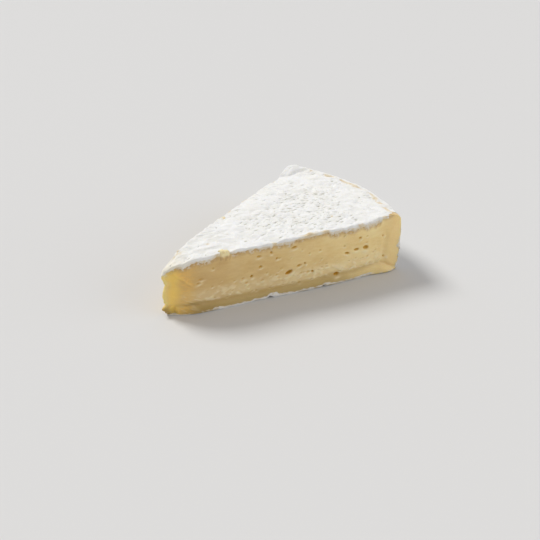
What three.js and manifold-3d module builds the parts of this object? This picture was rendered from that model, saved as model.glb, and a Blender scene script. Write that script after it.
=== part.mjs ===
// A wedge cut from a wheel of soft white-rind cheese, lying flat on its lower rind.
// Millimetres, +Z up. The body is shaped with the blunt nose of the wedge at x = 0, y = 0, z = 0 and the
// rim of the wheel towards +X, and is then moved so that the origin is the middle of its base.

import * as THREE from "three";
import { mergeVertices } from "three/addons/utils/BufferGeometryUtils.js";
import Module from "manifold-3d";

// Driving sizes: the two cuts in plan
const frontCutSlope = 0.32;
const backCutSlope = 0.33;
const noseFlare = 7.0;
const noseFlareReach = 6.0;
const noseHalfWidth = 1.4;
const noseRound = 1.2;
const backNoseStep = 0.6;
const bow = { depth: 2.2, start: 45, length: 85 };

// Driving sizes: the rim of the wheel
const rimCentre = { x: 41.7, y: 9.1 };
const crestRadius = 98.8;
const belly = { reach: 6.5, shoulderDrop: 1.7 };
const foot = { tuck: 2.2, tuckHeight: 5, round: 0.8, roundHeight: 0.7 };
const backCornerTuck = 2.2;
const backCornerStart = 0.8;

// Driving sizes: the thickness, which sags towards the nose
const noseThickness = 26.3;
const noseSag = { rise: 6.0, reach: 6.0 };
const thicknessSlope = 0.028;
const raisedCorner = { x: 132, y: 42, rise: 1.6, reach: 12 };
const frontCorner = { rise: 0.7, start: 112, end: 124, width: 10 };
const backSags = [
  { place: 70, reach: 4, depth: 0.7 },
  { place: 90, reach: 5, depth: 0.8 },
  { place: 113, reach: 8, depth: 1.2 },
];
const backSagWidth = 12;
const undulation = 0.3;

// Driving sizes: relief of the cuts. A level is a share of the local thickness.
const crease = { level: 0.155, halfHeight: 0.03, depth: 1.1, wander: 0.017 };
const creaseDip = { depth: 0.11, start: 118, end: 129 };
const lip = { level: 0.93, halfHeight: 0.035, overhang: 1.5, wander: 0.012 };
const faceInset = 0.6;
const faceUnevenness = 0.38;
const edgeRound = 0.9;
const edgeDrop = 0.5;
const toe = { flare: 2.6, start: 108, full: 124, end: 132, level: 0.13 };
const rimEnd = { start: 112, full: 127, spread: 1.3 };
const bareBulges = [
  { place: 26, reach: 4.5 },
  { place: 73, reach: 5 },
  { place: 127, reach: 9 },
];
const bareBulge = { depth: 0.8, level: 0.9, halfHeight: 0.08 };

// Driving sizes: relief of the nose's upright edge, as heights, reaches and distances out
const noseForms = [
  { height: 22.5, reach: 2.4, out: 1.7 },
  { height: 11, reach: 4.2, out: 2.0 },
  { height: 3.6, reach: 1.7, out: 2.4 },
  { height: 0, reach: 1.2, out: -1.2 },
];

// The middle of the finished base, from the nose
const baseMiddle = { x: 72.3, y: -1.37 };

// Rows of the mesh along the wedge, across it, and up it as levels
const rowsAlong = 55;
const rowsAcross = 19;
const footLevels = [0, 0.03, 0.075, 0.12, 0.155, 0.195];
const faceLevels = [0.27, 0.38, 0.5, 0.62, 0.74, 0.83];
const lipLevels = [0.885, 0.915, 0.96, 1];
const levels = [...footLevels, ...faceLevels, ...lipLevels];
const endCrowdingAlong = 0.4;
const endCrowdingAcross = 0.75;
const reliefShareOfWidth = 0.12;
const outwardX = -0.3;
const outwardY = 0.95;

// Small helpers
const lerp = (a, b, t) => a + (b - a) * t;
const clamp01 = (t) => Math.min(1, Math.max(0, t));
const bell = (offset, reach) => Math.exp(-((offset / reach) ** 2));
const crowdEnds = (t, amount) => t - (amount * Math.sin(2 * Math.PI * t)) / (2 * Math.PI);
function smooth(from, to, t) {
  const s = clamp01((t - from) / (to - from));
  return s * s * (3 - 2 * s);
}

// Smooth unevenness between -1 and 1 along a line, a different one for each seed
const waveTurns = [0.11, 0.19, 0.31, 0.53];
function waviness(t, seed) {
  const wave = (turn, i) => Math.sin(t * turn * (1 + 0.13 * seed) + seed * (i + 1.7));
  return waveTurns.reduce((total, turn, i) => total + wave(turn, i), 0) / waveTurns.length;
}

// The front cut in plan: straight, flared round the nose, with a slight outward bow
function frontCutY(x) {
  const flare = noseFlare * (1 - Math.exp(-Math.max(x, 0) / noseFlareReach));
  const bowPhase = clamp01((x - bow.start) / bow.length);
  return -(frontCutSlope * x + flare + bow.depth * Math.sin(Math.PI * bowPhase));
}

// The back cut in plan: straight from the blunt nose
function backCutY(x) {
  return backCutSlope * x + backNoseStep * (1 - Math.exp(-Math.max(x, 0) / backNoseStep));
}

// Thickness of the wedge at a place in plan
function thickness(x, y) {
  const along = Math.max(x, 0);
  const sagging = noseSag.rise * (1 - Math.exp(-along / noseSag.reach));
  const fromCorner = Math.hypot(x - raisedCorner.x, y - raisedCorner.y);
  const raised = raisedCorner.rise * bell(fromCorner, raisedCorner.reach);
  const nearFront = smooth(frontCorner.width, 0, y - frontCutY(x));
  const cornered = frontCorner.rise * smooth(frontCorner.start, frontCorner.end, x) * nearFront;
  const nearBack = smooth(backSagWidth, 0, backCutY(x) - y);
  const sagged = backSags.reduce((total, sag) => total + sag.depth * bell(x - sag.place, sag.reach), 0);
  const waves = undulation * (waviness(x + 0.6 * y, 1) + waviness(y - 0.4 * x, 2));
  const settled = waves * smooth(0, noseSag.reach * 2, x);
  return noseThickness + sagging + thicknessSlope * along + raised + cornered - sagged * nearBack + settled;
}

// How far the rim stands out beyond its crest, at a drop below the crest and a height above the base
function rimReach(drop, height) {
  const shoulder = belly.reach * (1 - Math.exp(-drop / belly.shoulderDrop));
  const tuck = foot.tuck * Math.exp(-height / foot.tuckHeight);
  const round = foot.round * Math.exp(-height / foot.roundHeight);
  return shoulder - tuck - round;
}

// A point on a circle round the wheel's middle
function rimPoint(angle, radius) {
  return { x: rimCentre.x + radius * Math.cos(angle), y: rimCentre.y + radius * Math.sin(angle) };
}

// The angle at which a cut meets that circle, found by stepping back and forth between the two
const meetingSteps = 12;
function cornerAngle(cutY, radius) {
  let x = rimCentre.x + radius;
  for (let step = 0; step < meetingSteps; step += 1) {
    x = rimCentre.x + Math.sqrt(radius ** 2 - (cutY(x) - rimCentre.y) ** 2);
  }
  return Math.atan2(cutY(x) - rimCentre.y, x - rimCentre.x);
}

// The share of the rind's lip that is left over the front cut: none at the bare bulges
function lipShare(x) {
  return 1 - bareBulges.reduce((most, bulge) => Math.max(most, bell(x - bulge.place, bulge.reach)), 0);
}

// What both cuts share: the groove above the foot strip, the ragged lip, unevenness and the rounded edge
function cutRelief(x, level, seed, lipWeight, creaseDrop) {
  const creaseLevel = crease.level + crease.wander * waviness(x, seed) - creaseDrop;
  const inset = faceInset * smooth(creaseLevel - crease.halfHeight, creaseLevel + crease.halfHeight, level);
  const fromEnds = smooth(3, 14, x) * smooth(toe.end, creaseDip.start, x);
  const groove = crease.depth * bell(level - creaseLevel, crease.halfHeight) * fromEnds;
  const lipLevel = lip.level + lip.wander * waviness(2.5 * x, seed + 1);
  const ragged = 0.75 + 0.35 * waviness(3 * x, seed + 2);
  const overhang = lip.overhang * bell(level - lipLevel, lip.halfHeight) * lipWeight * ragged;
  const midFace = smooth(0, 0.2, level) * smooth(1, 0.85, level);
  const uneven = faceUnevenness * waviness(x + 28 * level, seed + 3) * midFace;
  const insetLeft = 1 - rimEnd.spread * smooth(rimEnd.start, rimEnd.full, x);
  return overhang + uneven - inset * insetLeft - groove - edgeRound * smooth(0.965, 1, level);
}

// Relief of the front cut: how far it stands out from its line in plan
function frontRelief(x, level) {
  const share = lipShare(x);
  const drop = creaseDip.depth * smooth(creaseDip.start, creaseDip.end, x);
  const bulge = bareBulge.depth * (1 - share) * bell(level - bareBulge.level, bareBulge.halfHeight);
  const alongToe = smooth(toe.start, toe.full, x) * smooth(toe.end, toe.full, x);
  const flare = toe.flare * alongToe * smooth(toe.level, 0, level);
  return cutRelief(x, level, 3, share, drop) + bulge + flare;
}

// Relief of the back cut
function backRelief(x, level) {
  return cutRelief(x, level, 7, 1, 0);
}

// Relief of the nose: how far its upright edge stands out at a height
function noseRelief(height) {
  return noseForms.reduce((total, form) => total + form.out * bell(height - form.height, form.reach), 0);
}

// One point of the body, from its place along (0 nose, 1 rim), across (0 front, 1 back) and up the wedge
const rimThickness = thickness(rimCentre.x + crestRadius, rimCentre.y);
function bodyPoint(along, across, level) {
  const height = level * rimThickness;
  const radius = crestRadius + rimReach(rimThickness - height, height);
  const backRadius = radius - backCornerTuck;
  const frontAngle = cornerAngle(frontCutY, radius);
  const backAngle = cornerAngle(backCutY, backRadius);
  const frontEnd = rimPoint(frontAngle, radius);
  const backEnd = rimPoint(backAngle, backRadius);
  const tucked = lerp(radius, backRadius, smooth(backCornerStart, 1, across));
  const rim = rimPoint(lerp(frontAngle, backAngle, across), tucked);
  const side = 2 * across - 1;

  const frontX = lerp(noseRound, frontEnd.x, along);
  const backX = lerp(noseRound, backEnd.x, along);
  const frontShift = frontCutY(frontX) - lerp(-noseHalfWidth, frontEnd.y, along);
  const backShift = backCutY(backX) - lerp(noseHalfWidth, backEnd.y, along);
  let x = lerp(noseRound * side ** 2, rim.x, along);
  let y = lerp(noseHalfWidth * side, rim.y, along) + lerp(frontShift, backShift, across);

  const frontShare = smooth(reliefShareOfWidth, 0, across);
  const backShare = smooth(1 - reliefShareOfWidth, 1, across);
  const frontOut = frontRelief(x, level) * frontShare;
  const backOut = backRelief(x, level) * backShare;
  x += outwardX * (frontOut + backOut) * smooth(1, 0.95, along);
  y += outwardY * (backOut - frontOut);
  const drop = edgeDrop * Math.max(frontShare, backShare) ** 3 * smooth(0.97, 1, level);
  const z = level * thickness(x, y) - drop;
  x -= noseRelief(z) * smooth(0.05, 0, along);
  return new THREE.Vector3(x - baseMiddle.x, y - baseMiddle.y, z);
}

// A geometry with its shared corners merged, ready to be joined or cut
function welded(geometry) {
  geometry.deleteAttribute("normal");
  geometry.deleteAttribute("uv");
  return mergeVertices(geometry, 1e-5);
}

// The body: a box whose rows are moved onto the wedge
function bodyGeometry() {
  const rowsUp = levels.length - 1;
  const box = new THREE.BoxGeometry(1, 1, 1, rowsAlong, rowsAcross, rowsUp);
  const corners = box.attributes.position;
  for (let i = 0; i < corners.count; i += 1) {
    const along = Math.round((corners.getX(i) + 0.5) * rowsAlong) / rowsAlong;
    const across = Math.round((corners.getY(i) + 0.5) * rowsAcross) / rowsAcross;
    const level = levels[Math.round((corners.getZ(i) + 0.5) * rowsUp)];
    const crowded = [crowdEnds(along, endCrowdingAlong), crowdEnds(across, endCrowdingAcross)];
    const point = bodyPoint(...crowded, level);
    corners.setXYZ(i, point.x, point.y, point.z);
  }
  return welded(box);
}

// Eyes of the paste on the front cut: place from the nose, height, half width, half height, slant
const frontEyes = [
  [14.6, 20.7, 1.3, 0.8, 0.3],
  [13.4, 18.8, 1.3, 0.8, 0.4],
  [41.4, 16.1, 1.1, 1.1, 0],
  [45.3, 27.0, 1.6, 0.8, -0.2],
  [46.1, 20.9, 1.4, 0.9, -0.1],
  [51.7, 28.1, 1.1, 0.9, -0.3],
  [61.3, 14.3, 2.0, 1.5, 0.2],
  [63.8, 28.9, 1.9, 0.9, 0],
  [66.7, 17.5, 1.6, 0.9, -0.1],
  [74.5, 12.3, 1.0, 1.1, -0.6],
  [89.3, 7.1, 1.8, 1.4, -0.2],
  [95.0, 18.7, 1.9, 0.9, -0.5],
  [100.9, 19.8, 1.9, 1.2, -0.4],
  [107.2, 19.6, 2.3, 1.6, -0.5],
  [102.7, 26.6, 1.3, 1.0, -0.2],
  [118.0, 24.4, 0.9, 1.0, -0.4],
];

// Eyes of the back cut: a seeded draw, spread evenly along it
const backEyeCount = 13;
const backEyeSeed = 20077;
function seededDraw(seed) {
  let state = seed;
  return () => {
    state = (state * 16807) % 2147483647;
    return state / 2147483647;
  };
}
function drawBackEyes() {
  const draw = seededDraw(backEyeSeed);
  return Array.from({ length: backEyeCount }, (_, i) => {
    const x = lerp(14, 126, (i + 0.2 + 0.6 * draw()) / backEyeCount);
    const z = lerp(9, 28, draw());
    const halfWidth = lerp(0.9, 2.1, draw() ** 1.5);
    const halfHeight = halfWidth * lerp(0.5, 0.8, draw());
    const slant = lerp(-0.5, 0.5, draw());
    return [x, z, halfWidth, halfHeight, slant];
  });
}

// One eye: a squashed ball set into a cut
const eyeSides = 7;
const eyeRings = 6;
const eyeDepth = 0.9;
function eyeGeometry([x, z, halfWidth, halfHeight, slant], cutY, relief, side) {
  const slope = (cutY(x + 1) - cutY(x - 1)) / 2;
  const level = z / thickness(x, cutY(x));
  const faceY = cutY(x) + side * outwardY * relief(x, level);
  const pose = new THREE.Matrix4()
    .makeTranslation(x - baseMiddle.x, faceY - baseMiddle.y, z)
    .multiply(new THREE.Matrix4().makeRotationZ(Math.atan(slope)))
    .multiply(new THREE.Matrix4().makeRotationY(-slant))
    .multiply(new THREE.Matrix4().makeScale(halfWidth, eyeDepth * halfWidth, halfHeight));
  return welded(new THREE.SphereGeometry(1, eyeSides, eyeRings).applyMatrix4(pose));
}

// The body with its eyes cut out
const wasm = await Module();
wasm.setup();
function solidFrom(geometry) {
  const vertProperties = new Float32Array(geometry.attributes.position.array);
  const triVerts = new Uint32Array(geometry.index.array);
  return new wasm.Manifold(new wasm.Mesh({ numProp: 3, vertProperties, triVerts }));
}
function wedgeGeometry() {
  const frontBalls = frontEyes.map((eye) => eyeGeometry(eye, frontCutY, frontRelief, -1));
  const backBalls = drawBackEyes().map((eye) => eyeGeometry(eye, backCutY, backRelief, 1));
  const body = solidFrom(bodyGeometry());
  const balls = [...frontBalls, ...backBalls];
  const withEyes = balls.reduce((solid, ball) => solid.subtract(solidFrom(ball)), body);
  const mesh = withEyes.getMesh();
  const geometry = new THREE.BufferGeometry();
  geometry.setAttribute("position", new THREE.BufferAttribute(new Float32Array(mesh.vertProperties), 3));
  geometry.setIndex(new THREE.BufferAttribute(new Uint32Array(mesh.triVerts), 1));
  geometry.computeVertexNormals();
  return geometry;
}

const paste = new THREE.MeshStandardMaterial({ color: 0xe3cf9c, roughness: 0.6, metalness: 0 });
const wedge = new THREE.Mesh(wedgeGeometry(), paste);
wedge.name = "wedge";

const cheese = new THREE.Group();
cheese.add(wedge);
export default cheese;
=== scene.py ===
import math
from functools import cache

import bmesh
import bpy
import numpy as np
from mathutils import Matrix, Vector


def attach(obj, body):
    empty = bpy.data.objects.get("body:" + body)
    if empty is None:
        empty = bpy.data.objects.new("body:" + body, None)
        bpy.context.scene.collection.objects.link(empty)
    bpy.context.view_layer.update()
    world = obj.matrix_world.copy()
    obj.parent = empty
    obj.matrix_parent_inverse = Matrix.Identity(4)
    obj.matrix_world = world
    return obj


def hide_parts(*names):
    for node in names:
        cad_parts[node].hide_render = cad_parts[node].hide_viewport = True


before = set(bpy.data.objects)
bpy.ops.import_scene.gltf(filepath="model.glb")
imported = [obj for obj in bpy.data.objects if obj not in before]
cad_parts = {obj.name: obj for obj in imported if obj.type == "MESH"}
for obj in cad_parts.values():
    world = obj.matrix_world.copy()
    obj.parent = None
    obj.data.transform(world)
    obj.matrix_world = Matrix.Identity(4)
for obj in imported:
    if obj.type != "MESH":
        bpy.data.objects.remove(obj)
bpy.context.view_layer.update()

# A wedge of soft white-rind cheese: pale paste with small eyes, under a velvety white rind.
# Sizes are in millimetres, with the blunt nose of the wedge at 0, 0, 0 and the rim of the wheel towards +X.
# They become metres in the CAD frame, whose origin is the middle of the base, when a mesh is made.
# A relief is a sum of forms. Each is a height times bells or soft steps that say where it is in x, y and z.
# The last number given to a noise or a wave is its seed.
METRES_PER_MM = 0.001
BASE_MIDDLE = np.array([72.3, -1.37, 0.0])
FRONT = -1
BACK = 1

# The two cuts in plan, as in the CAD model
FRONT_LENGTH = 147.0
FRONT_SLOPE = 0.32
BACK_SLOPE = 0.33
NOSE_FLARE = 7.0
NOSE_FLARE_REACH = 6.0
NOSE_HALF_WIDTH = 1.4
NOSE_ROUND = 1.2
BACK_NOSE_STEP = 0.6
BOW_DEPTH = 2.2
BOW_START = 45.0
BOW_LENGTH = 85.0

# The rim of the wheel, as in the CAD model but for a sharper shoulder, a straighter foot and a front corner
# that stands further out
RIM_CENTRE_X = 41.7
RIM_CENTRE_Y = 9.1
CREST_RADIUS = 98.8
BELLY_REACH = 6.5
BELLY_SHOULDER = 1.9
SHOULDER_SHARPNESS = 1.6
FOOT_TUCK = 0.7
FOOT_TUCK_HEIGHT = 5.0
FOOT_ROUND = 0.8
FOOT_ROUND_HEIGHT = 0.7
BACK_CORNER_TUCK = 2.2
BACK_CORNER_START = 0.8
FRONT_CORNER_SWELL = 1.0
FRONT_CORNER_END = 0.12
CORNER_ROUNDS = 12

# The thickness, as in the CAD model. The sags of the back cut's edge are given by place, reach and depth.
NOSE_THICKNESS = 26.3
NOSE_SAG = 6.0
NOSE_SAG_REACH = 6.0
THICKNESS_SLOPE = 0.028
RAISED_CORNER_X = 132.0
RAISED_CORNER_Y = 42.0
RAISED_CORNER_RISE = 1.6
RAISED_CORNER_REACH = 12.0
FRONT_CORNER_RISE = 0.7
BACK_SAGS = [(70, 4, 0.7), (90, 5, 0.8), (113, 8, 1.2)]
BACK_SAG_WIDTH = 12.0
UNDULATION = 0.3
WAVE_TURNS = (0.11, 0.19, 0.31, 0.53)

# The crease in front of the raised back corner: its line across the wedge, its middle, reach and depths
CORNER_CREASE_Y = 34.0
CORNER_CREASE_MIDDLE = (130.0, 40.0)
CORNER_CREASE_REACH = 19.0
CORNER_CREASE_DROP = 2.0
CORNER_CREASE_GROOVE = 0.9

# The nose's upright edge: heights, reaches and distances out (inward below 0)
NOSE_FORMS = [
    (23.2, 2.7, 1.35), (17.6, 1.1, -0.85), (10.5, 5.0, 1.15),
    (6.2, 1.0, -0.8), (4.0, 1.6, 1.8), (0, 0.9, -0.7),
]
NOSE_FORM_LENGTH = 6.7
NOSE_ROUGHNESS = 0.28


def lerp(start, end, share):
    return start + (end - start) * share


def smooth(start, end, value):
    """0 at start and 1 at end, with a soft turn at both."""
    share = np.clip((value - start) / (end - start), 0.0, 1.0)
    return share * share * (3.0 - 2.0 * share)


def bell(offset, reach):
    """1 at no offset, and next to 0 at twice the reach."""
    return np.exp(-((offset / reach) ** 2))


def turned(x, y, angle):
    """The same place in axes turned by an angle."""
    return x * math.cos(angle) + y * math.sin(angle), y * math.cos(angle) - x * math.sin(angle)


def waviness(distance, seed):
    """The slow unevenness that the CAD model has too, between -1 and 1."""
    waves = [
        np.sin(distance * turn * (1 + 0.13 * seed) + seed * (i + 1.7)) for i, turn in enumerate(WAVE_TURNS)
    ]
    return sum(waves) / len(WAVE_TURNS)


NOISE_SIDE = 512
NOISE_TURN = 0.6


@cache
def random_table(seed, channels):
    return np.random.default_rng(seed).random((NOISE_SIDE, NOISE_SIDE, channels))


def noise(x, y, scale, seed):
    """Smooth noise between -1 and 1, with bumps about as wide as the scale."""
    u, v = turned(x, y, NOISE_TURN)
    u, v = u / scale, v / scale
    i, j = np.floor(u).astype(int), np.floor(v).astype(int)
    f, g = smooth(0, 1, u - i), smooth(0, 1, v - j)
    table = random_table(seed, 1)[:, :, 0]

    def corner(di, dj):
        return table[(i + di) % NOISE_SIDE, (j + dj) % NOISE_SIDE]

    near = lerp(corner(0, 0), corner(1, 0), f)
    far = lerp(corner(0, 1), corner(1, 1), f)
    return 2 * lerp(near, far, g) - 1


def wave(x, scale, seed):
    """The same noise along a line."""
    return noise(x, 0 * x, scale, seed)


def strokes(x, y, angle, pitch, size, seed, chance):
    """Short strokes on an uneven lattice: 1 in the middle of a stroke, 0 away from them. Pitch and size
    each hold a length along the strokes and one across. Chance gives each place its share of strokes."""
    a, b = turned(x, y, angle)
    table = random_table(seed, 6)
    deepest = np.zeros_like(a)
    for di in (-1, 0, 1):
        for dj in (-1, 0, 1):
            i = np.floor(a / pitch[0]).astype(int) + di
            j = np.floor(b / pitch[1]).astype(int) + dj
            draw = np.moveaxis(table[i % NOISE_SIDE, j % NOISE_SIDE], -1, 0)
            place_a, place_b, slant, length, strength, lot = draw
            along = a - (i + 0.1 + 0.8 * place_a) * pitch[0]
            over = b - (j + 0.1 + 0.8 * place_b) * pitch[1]
            over = over + along * 0.5 * (slant - 0.5)
            stroke = bell(along, size[0] * (0.45 + length)) * bell(over, size[1] * (0.75 + 0.5 * strength))
            deepest = np.maximum(deepest, stroke * (lot < chance) * (0.5 + 0.5 * strength))
    return deepest


# Outer form, by the formulas of the CAD model
def front_cut_y(x):
    flare = NOSE_FLARE * (1 - np.exp(-np.maximum(x, 0) / NOSE_FLARE_REACH))
    phase = np.clip((x - BOW_START) / BOW_LENGTH, 0, 1)
    return -(FRONT_SLOPE * x + flare + BOW_DEPTH * np.sin(np.pi * phase))


def back_cut_y(x):
    return BACK_SLOPE * x + BACK_NOSE_STEP * (1 - np.exp(-np.maximum(x, 0) / BACK_NOSE_STEP))


def cut_y(x, side):
    return front_cut_y(x) if side == FRONT else back_cut_y(x)


def from_cut(x, y, side):
    """Distance in plan from a cut, into the wedge."""
    return side * (cut_y(x, side) - y)


def from_edge(x, y):
    """Distance in plan from the nearer cut."""
    return np.minimum(from_cut(x, y, FRONT), from_cut(x, y, BACK))


def polar(x, y):
    """Distance from the wheel's middle, and the angle round it."""
    return np.hypot(x - RIM_CENTRE_X, y - RIM_CENTRE_Y), np.arctan2(y - RIM_CENTRE_Y, x - RIM_CENTRE_X)


def on_circle(radius, angle):
    return RIM_CENTRE_X + radius * np.cos(angle), RIM_CENTRE_Y + radius * np.sin(angle)


def thickness(x, y):
    along = np.maximum(x, 0)
    sag = NOSE_SAG * (1 - np.exp(-along / NOSE_SAG_REACH))
    from_corner = np.hypot(x - RAISED_CORNER_X, y - RAISED_CORNER_Y)
    raised = RAISED_CORNER_RISE * bell(from_corner, RAISED_CORNER_REACH)
    cornered = FRONT_CORNER_RISE * smooth(112, 124, x) * smooth(10, 0, from_cut(x, y, FRONT))
    sagged = sum(depth * bell(x - place, reach) for place, reach, depth in BACK_SAGS)
    near_back = smooth(BACK_SAG_WIDTH, 0, from_cut(x, y, BACK))
    waves = UNDULATION * (waviness(x + 0.6 * y, 1) + waviness(y - 0.4 * x, 2)) * smooth(0, 12, x)
    return NOSE_THICKNESS + sag + THICKNESS_SLOPE * along + raised + cornered - sagged * near_back + waves


def crease_of_corner(x, y):
    """The crease in front of the raised back corner, below 0. The CAD model leaves it out."""
    middle_x, middle_y = CORNER_CREASE_MIDDLE
    line = CORNER_CREASE_Y + 5.6 * smooth(124.5, 116, x) - 0.34 * np.maximum(x - middle_x, 0)
    behind = y - (line + 0.5 * wave(x, 4, 88))
    window = bell(np.hypot(x - middle_x, y - middle_y), CORNER_CREASE_REACH) * smooth(16, 26, y)
    window = window * lerp(1, 0.3, smooth(93.5, 98, polar(x, y)[0]))
    step = CORNER_CREASE_DROP * (smooth(-1.5, 6.0, behind) - 1)
    return window * (step - CORNER_CREASE_GROOVE * bell(behind, 1.3))


def top_height(x, y):
    return thickness(x, y) + crease_of_corner(x, y)


def rim_reach(drop, height):
    """How far the rim stands out beyond its crest, at a drop below it and a height above the base."""
    shoulder = BELLY_REACH * (1 - np.exp(-((np.maximum(drop, 0) / BELLY_SHOULDER) ** SHOULDER_SHARPNESS)))
    tuck = FOOT_TUCK * np.exp(-height / FOOT_TUCK_HEIGHT)
    return shoulder - tuck - FOOT_ROUND * np.exp(-height / FOOT_ROUND_HEIGHT)


def corner_angle(side, radius):
    """The angle at which a cut meets a circle round the wheel's middle."""
    x = RIM_CENTRE_X + radius
    for _ in range(CORNER_ROUNDS):
        x = RIM_CENTRE_X + np.sqrt(radius**2 - (cut_y(x, side) - RIM_CENTRE_Y) ** 2)
    return polar(x, cut_y(x, side))[1]


RIM_THICKNESS = float(thickness(np.array(RIM_CENTRE_X + CREST_RADIUS), np.array(RIM_CENTRE_Y)))


def plan_point(along, across, drop, inset=0.0):
    """A point in plan, from its place along (0 nose, 1 rim) and across (0 front, 1 back) and its drop below
    the rim's crest. The inset draws the rim in."""
    radius = CREST_RADIUS + rim_reach(drop, RIM_THICKNESS - drop) - inset
    radii = {FRONT: radius + FRONT_CORNER_SWELL * smooth(5, 12, drop), BACK: radius - BACK_CORNER_TUCK}
    angles = {side: corner_angle(side, radii[side]) for side in radii}
    shifts = []
    for side in (FRONT, BACK):
        corner_x, corner_y = on_circle(radii[side], angles[side])
        on_cut = cut_y(lerp(NOSE_ROUND, corner_x, along), side)
        shifts.append(on_cut - lerp(side * NOSE_HALF_WIDTH, corner_y, along))
    rim_radius = lerp(radius, radii[BACK], smooth(BACK_CORNER_START, 1, across))
    rim_radius = rim_radius + (radii[FRONT] - radius) * smooth(FRONT_CORNER_END, 0, across)
    rim_x, rim_y = on_circle(rim_radius, lerp(angles[FRONT], angles[BACK], across))
    off_middle = 2 * across - 1
    x = lerp(NOSE_ROUND * off_middle**2, rim_x, along)
    y = lerp(NOSE_HALF_WIDTH * off_middle, rim_y, along) + lerp(*shifts, across)
    return x, y


SLOPE_STEP = 0.05


def cut_normal(x, side):
    """The horizontal direction out of a cut."""
    slope = (cut_y(x + SLOPE_STEP, side) - cut_y(x - SLOPE_STEP, side)) / (2 * SLOPE_STEP)
    length = np.hypot(slope, 1)
    return -side * slope / length, side / length


def with_nose_forms(points):
    """The nose's upright edge stands out and in with the height."""
    x, y, z = points.T
    out = sum(form_out * bell(z - height, reach) for height, reach, form_out in NOSE_FORMS)
    out = out + NOSE_ROUGHNESS * noise(z, y, 1.3, 29)
    points[:, 0] -= out * smooth(NOSE_FORM_LENGTH, 0, x)
    return points


# The rind's lip over the front cut: places along it and how far the lip hangs down. Below 0 it draws back
# from the edge, and the paste shows.
FRONT_LIP = [
    (0, 0.7), (5, 0.8), (8, 1.4), (12, 1.6), (16, 2.0), (20, 1.9), (22.5, 1.3), (24.6, 0.1), (27, -1.6),
    (29.4, -0.8), (31, 0.4), (34, 1.3), (38, 1.2), (43, 1.5), (49, 2.2), (52, 2.0), (53.5, 0.7), (55, 1.9),
    (58.5, 1.4), (62, 2.1), (65, 1.1), (67.5, 1.6), (69.5, 0.7), (72, 0.5), (75, 0.5), (77, 1.0), (80, 0.6),
    (83, 0.6), (85, 1.9), (90, 2.4), (95, 2.0), (100, 1.7), (103, 1.0), (106, 2.2), (112, 2.8), (116, 2.3),
    (117.6, 0.7), (119.2, 0.5), (121, 1.2), (122.5, 0.3), (125, 0.1), (136, 0.1),
]
# The same over the back cut, which the photograph's view doesn't show
BACK_LIP = [
    (0, 1.0), (14, 2.2), (30, 1.6), (40, 2.8), (48, 2.0), (50, -0.8), (54, -0.6), (57, 1.4), (70, 2.6),
    (84, 1.8), (97, 3.0), (104, 1.2), (108, -0.7), (112, 0.6), (120, 2.4), (136, 2.0),
]
LIPS = {side: np.array(lip, float).T for side, lip in ((FRONT, FRONT_LIP), (BACK, BACK_LIP))}
# Where the rind's edge along the front cut is worn to its tan skin: place, reach, width over the top
EDGE_WEAR = [
    (27, 4.5, 0.6), (53.6, 1.0, 0.8), (72.5, 3.6, 2.0),
    (81.5, 2.0, 0.9), (103, 1.6, 0.7), (118.3, 1.4, 0.9),
]
# The crumb of paste pushed up over the front cut's edge: place, reach along it, reach back from it, height
CRUMB = (27.0, 2.9, 1.9, 0.35)


def lip_length(x, side):
    """How far the rind hangs over a cut, negative where it draws back from the edge."""
    length = np.interp(x, *LIPS[side])
    ragged = 0.75 * wave(x, 1.9, 31 - side) + 0.4 * wave(x, 0.85, 41 - side)
    return length + ragged * smooth(0.1, 1.4, length)


def edge_wear(x, to_cut, side):
    """Share of tan skin that shows along the rind's edge, at a distance back from a cut."""
    if side == BACK:
        return smooth(0.45, 0.8, wave(x, 7, 36)) * smooth(1.6, 0.5, to_cut)
    ragged = to_cut + 0.5 * noise(x, to_cut, 1.4, 37)
    shares = [
        bell(x - place, reach) ** 0.7 * smooth(width + 0.6, width - 0.4, ragged)
        for place, reach, width in EDGE_WEAR
    ]
    return np.clip(sum(shares), 0, 1)


def corner_gap(x, drop):
    """How far the rind is torn back from the front cut at its corner with the rim."""
    top_end = 0.8 * smooth(120.5, 123, x) * smooth(10.5, 7.5, drop)
    chamfer = 3.4 * smooth(0, 0.9, drop) * smooth(4.6, 2.0, drop)
    return np.maximum(top_end, chamfer) * smooth(115, 121, x)


def lip_bareness(x, side):
    """1 where the rind draws back from the cut's edge, else 0."""
    return smooth(0.4, -1.0, lip_length(x, side))


# The groove above the foot strip of the front cut: places along it and its heights
CREASE = np.array([
    (0, 5.6), (10, 6.0), (20, 5.1), (40, 4.8), (52, 4.4), (60, 4.7), (75, 5.5), (85, 6.0), (100, 5.1),
    (110, 6.0), (118, 6.2), (121, 5.2), (124, 3.4), (128, 1.4), (132, 0.8), (140, 0.8),
]).T
BACK_CREASE_HEIGHT = 5.3
CREASE_DEPTH = 0.85
FACE_INSET = 0.4
BARE_BULGE = 0.8
LUMP_HEIGHT = 0.34

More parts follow.
